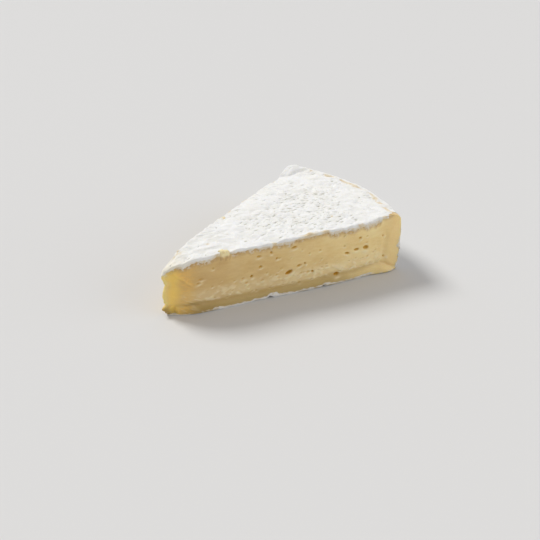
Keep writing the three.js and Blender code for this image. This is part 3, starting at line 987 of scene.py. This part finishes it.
def edge_band(rows, length, proud, rise, drawn, far_direction):
    """The strip beyond a sheet's border: a grid of points from the border over the cut to a ragged line,
    and last a ring inside the paste. It stands proud of the cut by two distances, near the border and at
    its end, and comes up over a short way. Where the sheet is drawn back, it lies on the cut's line."""
    points, normals, sides = border(rows, "points"), border(rows, "normals"), border_sides(rows)
    outward = border_outward(rows, far_direction)
    leaning = np.sum(normals * outward, 1, keepdims=True)
    down = outward * leaning - normals
    down = down / np.linalg.norm(down, axis=1, keepdims=True)
    mix = np.where(sides == ON_NOSE, border(rows, "across"), 1.0 * (sides == ON_BACK))
    rings = []
    for step, share in enumerate(BAND_SHARES[:, 0]):
        ring = points + down * (length * share)[:, None]
        x, z = ring[:, 0], ring[:, 2]
        relief = lerp(plain_relief(x, z, FRONT), plain_relief(x, z, BACK), mix)
        if step == BAND_STEPS:
            out = lerp(relief, 0, drawn) - LIP_BURIED
        else:
            lumps = LIP_LUMPS * (noise(x, z, 1.5, 137) + 0.6 * noise(x, z, 0.7, 138))
            out = (relief + lumps + lerp(*proud, share)) * smooth(0, rise, length * share) * (1 - drawn)
        out = np.where(sides == ON_FAR, 0.0, out)
        rings.append(ring + outward * out[:, None])
    return np.stack(rings)


def close_sheet(surface, rows, inner, band, band_tones):
    """Joins a sheet, the band round it and its inner side into one closed shell."""
    numbers = np.concatenate([border(rows, "numbers")[None, :], surface.add(band, **band_tones)])
    numbers = np.concatenate([numbers, numbers[:, :1]], 1)
    surface.grid(numbers)
    loop = border(inner, "numbers")
    loop = np.append(loop, loop[0])
    surface.stitch(numbers[-1], loop, border_places(rows), border_places(inner))
    for sheet in (rows, inner):
        for row, following in zip(sheet[:-1], sheet[1:]):
            surface.stitch(row.numbers, following.numbers, row.across, following.across)


# Rind of the top and the rim
TOP_STEP = 0.38
RIM_STEP = 0.45
RIND_THICKNESS = 1.7
RIND_EDGE_ROUND = 1.0
RIM_EDGE_ROUND = 0.4
RIM_FOOT = 0.25
INNER_RIM_FOOT = 1.6
LIP_PROUD = (0.8, 0.12)
RIM_LIP_PROUD = 0.25
LIP_RISE = 1.2
RIM_LIP_RISE = 0.45
SHORTEST_LIP = 0.3
SHORTEST_RIM_LIP = 0.2
NOSE_LIP = 1.0
FOOT_LIP = 1.2
RIM_LIP = 0.75
KNOB_LIP = 2.2
SIDES_APART = 40.0
# Small worn spots of the top: place from the nose and across, reach, share
WORN_SPOTS = [
    (27.2, -2.3, 1.6, 0.55), (141.0, 13.2, 1.7, 0.8), (104.8, 32.7, 1.5, 0.5), (85.3, 26.6, 1.2, 0.4),
    (103.5, -21.3, 0.8, 0.7), (97.2, -25.0, 0.9, 0.7), (92.3, 2.4, 0.9, 0.8), (136.9, 29.2, 1.4, 0.6),
]


def rind_relief(points, normals):
    """Relief of the rind: the top's, turning into the rim's over the shoulder."""
    x, y, z = points.T
    arc = polar(x, y)[1] * CREST_RADIUS
    return lerp(rim_relief(arc, z), top_relief(x, y), normals[:, 2] ** 2)


def nose_share(x):
    return smooth(16, 2, x)


def worn(x, y, z):
    """Places where the white bloom is rubbed off: along the rim's crest, near the nose, in a few spots,
    along the edges of both cuts and low on the rim."""
    tip = tip_bump(x, y) * smooth(-0.5, 0.1, noise(x, y, 0.9, 142))
    spots = 0 * x
    for spot_x, spot_y, reach, share in WORN_SPOTS:
        spots = spots + share * bell(np.hypot(x - spot_x, 1.3 * (y - spot_y)), reach)
    edges = sum(edge_wear(x, from_cut(x, y, side), side) for side in (FRONT, BACK))
    on_rim = smooth(2.5, 6, polar(x, y)[0] - CREST_RADIUS)
    rubbed = 0.6 * on_rim * smooth(0.35, 0.75, noise(x + y, 1.6 * z, 5, 145)) * smooth(24, 8, z)
    return np.clip(worn_crest(x, y) + 1.3 * tip + spots + edges + rubbed, 0, 1)


def rind_tones(points, normals):
    """Shares of each tone of the rind."""
    x, y, z = points.T
    on_top = smooth(0.9, 0.99, normals[:, 2])
    # Painted shade in the wrinkles, creases and crest marks of the top
    shaded_folds = np.maximum(np.maximum(wrinkles(x, y), crest_teeth(x, y)), 0.8 * creases(x, y))
    return {
        # The mat's pits: a greyer, thinner bloom, deepened by painted shade
        "pit": pits(x, y) * on_top,
        "fold": shaded_folds * on_top,
        "wear": worn(x, y, z),
        "nose": nose_share(x),
    }


def rim_lip_length(z, sides):
    """How far the rind reaches over the cuts beside the rim, furthest at the knob of the front corner."""
    line = sides * SIDES_APART
    length = RIM_LIP + 0.5 * noise(z, line, 2.6, 131) + 0.4 * noise(z, line, 1.1, 132)
    length = length + KNOB_LIP * bell(z - KNOB_HEIGHT, 1.4) * (sides == ON_FRONT)
    return np.maximum(length, SHORTEST_RIM_LIP)


def lip_tones(band, length, on_rim, sides):
    """The rind's lip: its share of worn skin, and its share of tan and painted shade, which grows towards the
    lip's lower edge, before it is whitened.
    """
    x, z = band[..., 0], band[..., 2]
    patches = 0.5 * smooth(0.0, 0.5, noise(x, z, 2.6, 139))
    front, back = (np.maximum(patches, edge_wear(x, 0 * x, side)) for side in (FRONT, BACK))
    wear = np.choose(sides[None, :], [front, 0 * x, back, 0 * x]) * (1 - on_rim)
    wear = wear + 0.45 * on_rim * bell(z - KNOB_HEIGHT, 2) * (sides == ON_FRONT)
    return wear, (0.35 + 0.65 * BAND_SHARES) * smooth(0.1, 0.8, length)


def build_rind():
    """The rind of the top and the rim, as one closed shell with ragged lips over both cuts."""
    surface = Surface(RIND_TONES)
    top = (top_path(TOP_STEP), TOP_STEP, RIND_EDGE_ROUND)
    rim = (rim_path(RIM_STEP, RIM_FOOT), RIM_STEP, RIM_EDGE_ROUND)
    rows = [row for part in (top, rim) for row in fine_rows(surface, *part, 0.0, rind_relief, rind_tones)]
    inner_path = top_path(INNER_STEP)[1:] + rim_path(INNER_STEP, INNER_RIM_FOOT)
    inner = inner_rows(surface, inner_path, RIND_THICKNESS, 0.0)
    (x, _, z), sides = border(rows, "points").T, border_sides(rows)
    on_rim = smooth(0.95, 0.6, border(rows, "normals")[:, 2])
    lip = np.choose(sides, [lip_length(x, FRONT), FOOT_LIP + 0 * x, lip_length(x, BACK), NOSE_LIP + 0 * x])
    length = lerp(np.maximum(lip, SHORTEST_LIP), rim_lip_length(z, sides), on_rim)
    length = np.where(sides == ON_FAR, FOOT_LIP, length)
    torn = corner_gap(x, RIM_THICKNESS - z) * (sides == ON_FRONT)
    drawn = np.maximum(smooth(0.0, -0.3, lip) * (1 - on_rim), smooth(0.1, 0.5, torn))
    proud = (LIP_PROUD[0], lerp(LIP_PROUD[1], RIM_LIP_PROUD, on_rim))
    rise = lerp(LIP_RISE, RIM_LIP_RISE, on_rim)
    band = edge_band(rows, length, proud, rise, drawn, lambda points: 0 * points - np.array([0, 0, 1.0]))
    # The lip tone: tan patches and painted shade, greyer towards the lip's lower edge
    wear, tan_and_shade = lip_tones(band, length, on_rim, sides)
    tan_and_shade = tan_and_shade * (1 - np.maximum(0.85 * on_rim, 0.75 * smooth(18, 8, x)))
    close_sheet(surface, rows, inner, band, {"lip": tan_and_shade, "wear": wear, "nose": nose_share(band[..., 0])})
    return surface.piece("rind")


# Rind of the base. The places where the underside is torn up by the front cut are given by place, reach and
# rise, and so are those where its rind shows higher up that cut.
BASE_STEP = 0.8
BASE_THICKNESS = 1.2
BASE_EDGE_ROUND = 0.35
BASE_RIM_INSET = 1.2
BASE_PROUD = (0.45, 0.25)
BASE_LIP = 1.05
BASE_FAR_LIP = 0.4
SHORTEST_BASE_LIP = 0.15
NOTCHES = [(51.6, 1.5, 1.3), (82.2, 0.9, 1.2)]
BASE_FLAKES = [(54.5, 2.4, 1.5), (85, 3.0, 0.9), (108, 5.0, 0.8)]


def foot_height(x, y):
    """Height of the underside above what the wedge rests on: it is torn up in places by the front cut."""
    torn = sum(rise * bell(x - place, reach) for place, reach, rise in NOTCHES)
    return torn * smooth(3.5, 0.5, from_cut(x, y, FRONT))


def base_marks(x, y):
    """Marks that the draining mat left in the underside."""
    return strokes(x, y, MAT_ANGLE, (4.0, 2.6), (1.4, 0.6), 161, 0.5)


def base_relief(points, normals):
    """Relief of the underside, which is never below what the wedge rests on."""
    x, y, _ = points.T
    return -0.2 * base_marks(x, y) - 0.1 * (1 + noise(x, y, 5, 162)) - foot_height(x, y)


def base_tones(points, normals):
    x, y, _ = points.T
    # The underside's mat marks, greyer by the same painted shade as the pits
    return {"pit": 0.6 * base_marks(x, y), "nose": nose_share(x)}


def base_band_length(x, side):
    """How far the base's rind shows up the foot of a cut."""
    length = BASE_LIP + 0.5 * wave(x, 2.1, 151 + side) + 0.4 * wave(x, 0.8, 153 + side)
    if side == FRONT:
        for place, reach, rise in BASE_FLAKES:
            length = length + rise * bell(x - place, reach)
        length = length * lerp(1.0, 0.4, smooth(112, 117, x)) * lerp(0.5, 1.0, smooth(8, 20, x))
    return np.maximum(length, SHORTEST_BASE_LIP)


def radial(points):
    """The direction out from the wheel's middle."""
    away = points - np.array([RIM_CENTRE_X, RIM_CENTRE_Y, 0])
    away[:, 2] = 0
    return away / np.linalg.norm(away, axis=1, keepdims=True)


def build_base():
    """The rind under the wedge: a thin closed shell with a ragged edge up both cuts."""
    surface = Surface(RIND_TONES)
    form = (BASE_STEP, BASE_EDGE_ROUND, BASE_RIM_INSET)
    rows = fine_rows(surface, base_path(BASE_STEP), *form, base_relief, base_tones, drawn_back=False)
    inner = inner_rows(surface, base_path(INNER_STEP)[1:-1], BASE_THICKNESS, BASE_RIM_INSET)
    x, sides = border(rows, "points")[:, 0], border_sides(rows)
    front, back = (base_band_length(x, side) for side in (FRONT, BACK))
    length = np.choose(sides, [front, BASE_FAR_LIP + 0 * x, back, front])
    band = edge_band(rows, length, BASE_PROUD, LIP_RISE, 0 * length, radial)
    band_x = band[..., 0]
    # The base band's lip tone: tan patches and painted shade, greyer towards the band's end
    tones = {"lip": 0.5 * BAND_SHARES, "nose": nose_share(band_x), "wear": 0.9 * smooth(30, 12, band_x)}
    close_sheet(surface, rows, inner, band, tones)
    return surface.piece("rind_base")


# Materials. Colours are given as 0 to 255 on a screen.
def from_srgb(red, green, blue):
    """A screen colour as the linear colour of a shader."""
    linear = [((part / 255 + 0.055) / 1.055) ** 2.4 for part in (red, green, blue)]
    return (*linear, 1.0)


class Shader:
    """A node material, built up node by node."""

    def __init__(self, name):
        self.material = bpy.data.materials.new(name)
        self.material.use_nodes = True
        self.tree = self.material.node_tree
        self.surface = self.tree.nodes["Principled BSDF"]
        self.place = self.tree.nodes.new("ShaderNodeTexCoord").outputs["Object"]

    def feed(self, socket, value):
        """Gives a socket another node's output or a fixed value."""
        if isinstance(value, bpy.types.NodeSocket):
            self.tree.links.new(value, socket)
        else:
            socket.default_value = value

    def set(self, **inputs):
        """Feeds inputs of the surface shader, named as on the shader with _ for a space."""
        for name, value in inputs.items():
            self.feed(self.surface.inputs[name.replace("_", " ")], value)

    def node(self, kind, inputs, **settings):
        """Adds a node with its settings and inputs, which are named or numbered."""
        made = self.tree.nodes.new(kind)
        for name, setting in settings.items():
            setattr(made, name, setting)
        for key, value in inputs.items():
            self.feed(made.inputs[key], value)
        return made

    def tone(self, name):
        """The share of a tone that the mesh carries."""
        return self.node("ShaderNodeAttribute", {}, attribute_name=name).outputs["Fac"]

    def noise(self, size, stretch=(1, 1, 1), detail=2.0, start=0.35, end=0.65):
        """Noise with bumps of a size in millimetres, stretched along each axis, between 0 and 1."""
        scale = [1 / (size * METRES_PER_MM * times) for times in stretch]
        place = self.node("ShaderNodeMapping", {"Vector": self.place, "Scale": scale}).outputs["Vector"]
        inputs = {"Vector": place, "Scale": 1.0, "Detail": detail, "Roughness": 0.55}
        raw = self.node("ShaderNodeTexNoise", inputs).outputs["Fac"]
        return self.between(raw, start, end)

    def between(self, value, start, end):
        """0 where the value is at start and 1 where it is at end, with a soft turn."""
        inputs = {"Value": value, "From Min": start, "From Max": end}
        return self.node("ShaderNodeMapRange", inputs, interpolation_type="SMOOTHSTEP").outputs["Result"]

    def combine(self, operation, values):
        total = values[0]
        for value in values[1:]:
            total = self.node("ShaderNodeMath", {0: total, 1: value}, operation=operation).outputs[0]
        return total

    def sum(self, *values):
        return self.combine("ADD", values)

    def times(self, *values):
        return self.combine("MULTIPLY", values)

    def mix(self, share, first, second):
        """A colour between two, each another node's output or a screen colour."""
        first, second = (from_srgb(*part) if isinstance(part, tuple) else part for part in (first, second))
        inputs = {"Factor": share, 6: first, 7: second}
        return self.node("ShaderNodeMix", inputs, data_type="RGBA").outputs[2]

    def over(self, colour, laid, tone, *shares):
        """Lays a screen colour over a colour, by the share of a tone times other shares."""
        return self.mix(self.times(self.tone(tone), *shares), colour, laid)

    def bump(self, height, distance, **inputs):
        """Turns a height between 0 and 1 into relief of a distance in millimetres."""
        inputs.update(Height=height, Distance=distance * METRES_PER_MM)
        return self.node("ShaderNodeBump", inputs).outputs["Normal"]


# Painted light: the paste is darker by the nose and lighter by the rim, as the light falls
PASTE_SHADED_BY_NOSE = (217, 185, 125)
PASTE_SHADED_BY_NOSE_DEEP = (206, 170, 110)
PASTE_LIT_BY_RIM = (249, 226, 166)
PASTE_LIT_BY_RIM_DEEP = (239, 209, 142)
PASTE_FOOT = (192, 166, 106)
# Pale lumps, with painted highlight on ridges and on the lips below the eyes
PASTE_LUMP_AND_HIGHLIGHT = (246, 230, 188)
# Painted glow of light through the thin nose
PASTE_AMBER_GLOW = (240, 194, 102)
# Painted light on the nose's facet
PASTE_FACET_GLOW = (250, 214, 108)
PASTE_SKIN = (232, 216, 150)
# Dark toe, with painted shade at the foot and groove by the nose
PASTE_TOE_AND_SHADE = (158, 128, 58)
PASTE_RIM = (246, 214, 148)
# Creamline darkened by painted shade under the lip
PASTE_CREAMLINE_AND_SHADE = (192, 154, 102)
# Painted shade in the groove above the foot
PASTE_CREASE_SHADE = (186, 156, 92)
# Painted shade and bounced light inside the eyes
PASTE_HOLLOW_SHADE = (204, 154, 30)
PASTE_BARE = (246, 230, 178)
PASTE_BLOOM = (234, 226, 206)
PASTE_BROWN = (164, 122, 74)


def paste_material():
    """Pale yellow paste: soft, a little moist and translucent, with faint strokes of the knife."""
    shader = Shader("paste_finish")
    broad = shader.noise(9, (1.6, 1.6, 1))
    streaks = shader.noise(1.6, (3.5, 3.5, 0.8))
    mottle = shader.noise(0.9, (1.4, 1.4, 1), detail=4)
    fibres = shader.noise(0.8, (3, 3, 1), start=0.4, end=0.62)
    upright = shader.noise(1.1, (1, 1, 4), start=0.38, end=0.62)
    flecks = shader.noise(1.4, start=0.5, end=0.62)
    # Painted light: lighter from the nose towards the rim, by the along tone
    pale = shader.mix(shader.tone("along"), PASTE_SHADED_BY_NOSE, PASTE_LIT_BY_RIM)
    deep = shader.mix(shader.tone("along"), PASTE_SHADED_BY_NOSE_DEEP, PASTE_LIT_BY_RIM_DEEP)
    colour = shader.mix(shader.times(shader.sum(broad, shader.times(streaks, 0.6)), 0.6), pale, deep)
    for laid, tone, *shares in (
        (PASTE_FOOT, "foot", 0.85),
        # Painted glow of light through the thin nose
        (PASTE_AMBER_GLOW, "amber_glow", shader.sum(0.55, shader.times(fibres, 0.35))),
        # Painted light on the nose's facet
        (PASTE_FACET_GLOW, "facet_glow", 0.85),
        (PASTE_RIM, "rim_warmth", 0.8),
        # Pale lumps, with painted highlight on ridges and below the eyes
        (PASTE_LUMP_AND_HIGHLIGHT, "pale_lump_and_highlight", 0.75),
        # Painted shade in the groove above the foot
        (PASTE_CREASE_SHADE, "crease_shade", 0.55),
        # Creamline under the rind, darkened by painted shade under the lip
        (PASTE_CREAMLINE_AND_SHADE, "creamline_and_shade", shader.sum(0.5, shader.times(mottle, 0.4))),
        # Painted shade and bounced light inside the eyes
        (PASTE_HOLLOW_SHADE, "hollow", 0.92),
        (PASTE_SKIN, "skin", 0.6),
        # Dark toe, and painted shade at the foot and in the groove by the nose
        (PASTE_TOE_AND_SHADE, "toe", 0.85),
        (PASTE_BARE, "bare", 0.9),
        (PASTE_BROWN, "bare", flecks, 0.2),
        (PASTE_BROWN, "streak", upright, 0.55),
        (PASTE_BLOOM, "bloom", 0.7),
    ):
        colour = shader.over(colour, laid, tone, *shares)
    relief = shader.bump(shader.sum(shader.times(streaks, 0.4), shader.times(mottle, 0.8)), 0.05)
    shader.set(Base_Color=colour, Normal=relief)
    shader.set(Roughness=shader.sum(0.42, shader.times(mottle, 0.15)), Specular_IOR_Level=0.4)
    shader.set(Subsurface_Weight=0.35, Subsurface_Scale=0.004, Subsurface_Radius=(1.0, 0.78, 0.38))
    return shader.material


RIND_WHITE = (241, 240, 236)
RIND_SOFT = (233, 231, 222)
# Greyer bloom in the pits, deepened by painted shade
RIND_PIT_TINT_AND_SHADE = (186, 186, 168)
# Painted shade in the folds
RIND_FOLD_SHADE = (226, 225, 216)
RIND_WEAR = (228, 215, 188)
RIND_WEAR_DEEP = (218, 196, 156)
RIND_LIP = (222, 197, 152)
# Painted shade towards the lip's lower edge
RIND_LIP_SHADE = (222, 212, 190)
RIND_NOSE = (240, 230, 202)


def rind_material():
    """The velvety white bloom of the rind, with the paste's tan showing through in pits and worn places, and
    painted shade in the pits, in the folds and towards the lip's lower edge.
    """
    shader = Shader("rind_finish")
    broad = shader.noise(11)
    patches = shader.noise(2.2, detail=3, start=0.42, end=0.68)
    felt = shader.noise(0.45, detail=4, start=0.3, end=0.7)
    torn = shader.noise(1.3, detail=3, start=0.4, end=0.56)
    colour = shader.mix(shader.times(shader.sum(broad, patches), 0.4), RIND_WHITE, RIND_SOFT)
    colour = shader.over(colour, RIND_NOSE, "nose", 0.6)
    # Painted shade in the folds
    colour = shader.over(colour, RIND_FOLD_SHADE, "fold", 0.5)
    # The pits: a greyer bloom, deepened by painted shade
    colour = shader.mix(shader.between(shader.tone("pit"), 0.15, 0.75), colour, RIND_PIT_TINT_AND_SHADE)
    # Painted shade: greyer towards the lip's lower edge
    colour = shader.over(colour, RIND_LIP_SHADE, "lip", 0.8)
    colour = shader.over(colour, RIND_LIP, "lip", torn, 0.85)
    worn_colour = shader.mix(patches, RIND_WEAR, RIND_WEAR_DEEP)
    worn_share = shader.between(shader.sum(shader.tone("wear"), shader.times(felt, 0.3)), 0.22, 0.9)
    colour = shader.mix(worn_share, colour, worn_colour)
    nap = shader.bump(shader.noise(0.2, start=0.25, end=0.75), 0.03)
    relief = shader.bump(felt, 0.05, Normal=nap)
    shader.set(Base_Color=colour, Normal=relief, Roughness=0.92, Specular_IOR_Level=0.2)
    shader.set(Sheen_Weight=0.25, Sheen_Roughness=0.6)
    shader.set(Subsurface_Weight=0.12, Subsurface_Scale=0.002, Subsurface_Radius=(1.0, 0.85, 0.6))
    return shader.material


# Pieces
def dress(piece, material):
    """Gives a piece its material and its place in the CAD model."""
    piece.data.materials.append(material)
    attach(piece, "root")
    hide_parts("wedge")


white_rind = rind_material()
dress(build_paste(), paste_material())
dress(build_rind(), white_rind)
dress(build_base(), white_rind)


# Floor, light and camera. A sun is given by where it comes from, its width in degrees and its strength.
FLOOR_HALF = 4.0
FLOOR_COLOUR = from_srgb(214, 213, 210)
WORLD_COLOUR = from_srgb(250, 250, 255)
WORLD_STRENGTH = 0.5
SUNS = {"key": ((-0.15, 0.8, 0.85), 22, 2.28), "fill": ((0.55, -0.8, 0.25), 60, 0.85)}
SENSOR_WIDTH_MM = 36.0
LENS_MM = 45.10
NEAREST_METRES = 0.01
CAMERA_PLACE = (-0.2361, -0.24833, 0.1942)
CAMERA_RIGHT = (0.7295, -0.6839, 0.0140)
CAMERA_FORWARD = (0.6002, 0.6301, -0.4926)


def build_floor():
    """A plain pale floor under the wedge."""
    mesh = bpy.data.meshes.new("floor")
    corners = [(-1, -1), (1, -1), (1, 1), (-1, 1)]
    mesh.from_pydata([(FLOOR_HALF * x, FLOOR_HALF * y, 0.0) for x, y in corners], [], [(0, 1, 2, 3)])
    floor = bpy.data.objects.new("floor", mesh)
    bpy.context.scene.collection.objects.link(floor)
    shader = Shader("floor_finish")
    shader.set(Base_Color=FLOOR_COLOUR, Roughness=0.9, Specular_IOR_Level=0.1)
    mesh.materials.append(shader.material)


def add_sun(name, direction, spread, strength):
    """A soft light from far away."""
    lamp = bpy.data.lights.new(name, "SUN")
    lamp.angle = math.radians(spread)
    lamp.energy = strength
    light = bpy.data.objects.new(name, lamp)
    light.rotation_euler = (-Vector(direction)).to_track_quat("-Z", "Y").to_euler()
    bpy.context.scene.collection.objects.link(light)


def add_world():
    """Even light from all round."""
    world = bpy.data.worlds.new("studio")
    world.use_nodes = True
    background = world.node_tree.nodes["Background"]
    background.inputs["Color"].default_value = WORLD_COLOUR
    background.inputs["Strength"].default_value = WORLD_STRENGTH
    bpy.context.scene.world = world


def add_camera():
    """The camera of the photograph's view: from the nose's side, looking down on the front cut."""
    lens = bpy.data.cameras.new("camera")
    lens.sensor_width = SENSOR_WIDTH_MM
    lens.lens = LENS_MM
    lens.clip_start = NEAREST_METRES
    camera = bpy.data.objects.new("camera", lens)
    right = Vector(CAMERA_RIGHT).normalized()
    forward = Vector(CAMERA_FORWARD).normalized()
    up = right.cross(forward).normalized()
    turn = Matrix((right, up, -forward)).transposed().to_4x4()
    camera.matrix_world = Matrix.Translation(CAMERA_PLACE) @ turn
    bpy.context.scene.collection.objects.link(camera)
    bpy.context.scene.camera = camera


build_floor()
add_world()
for sun_name, sun in SUNS.items():
    add_sun(sun_name, *sun)
add_camera()
bpy.context.scene.view_settings.view_transform = "Standard"
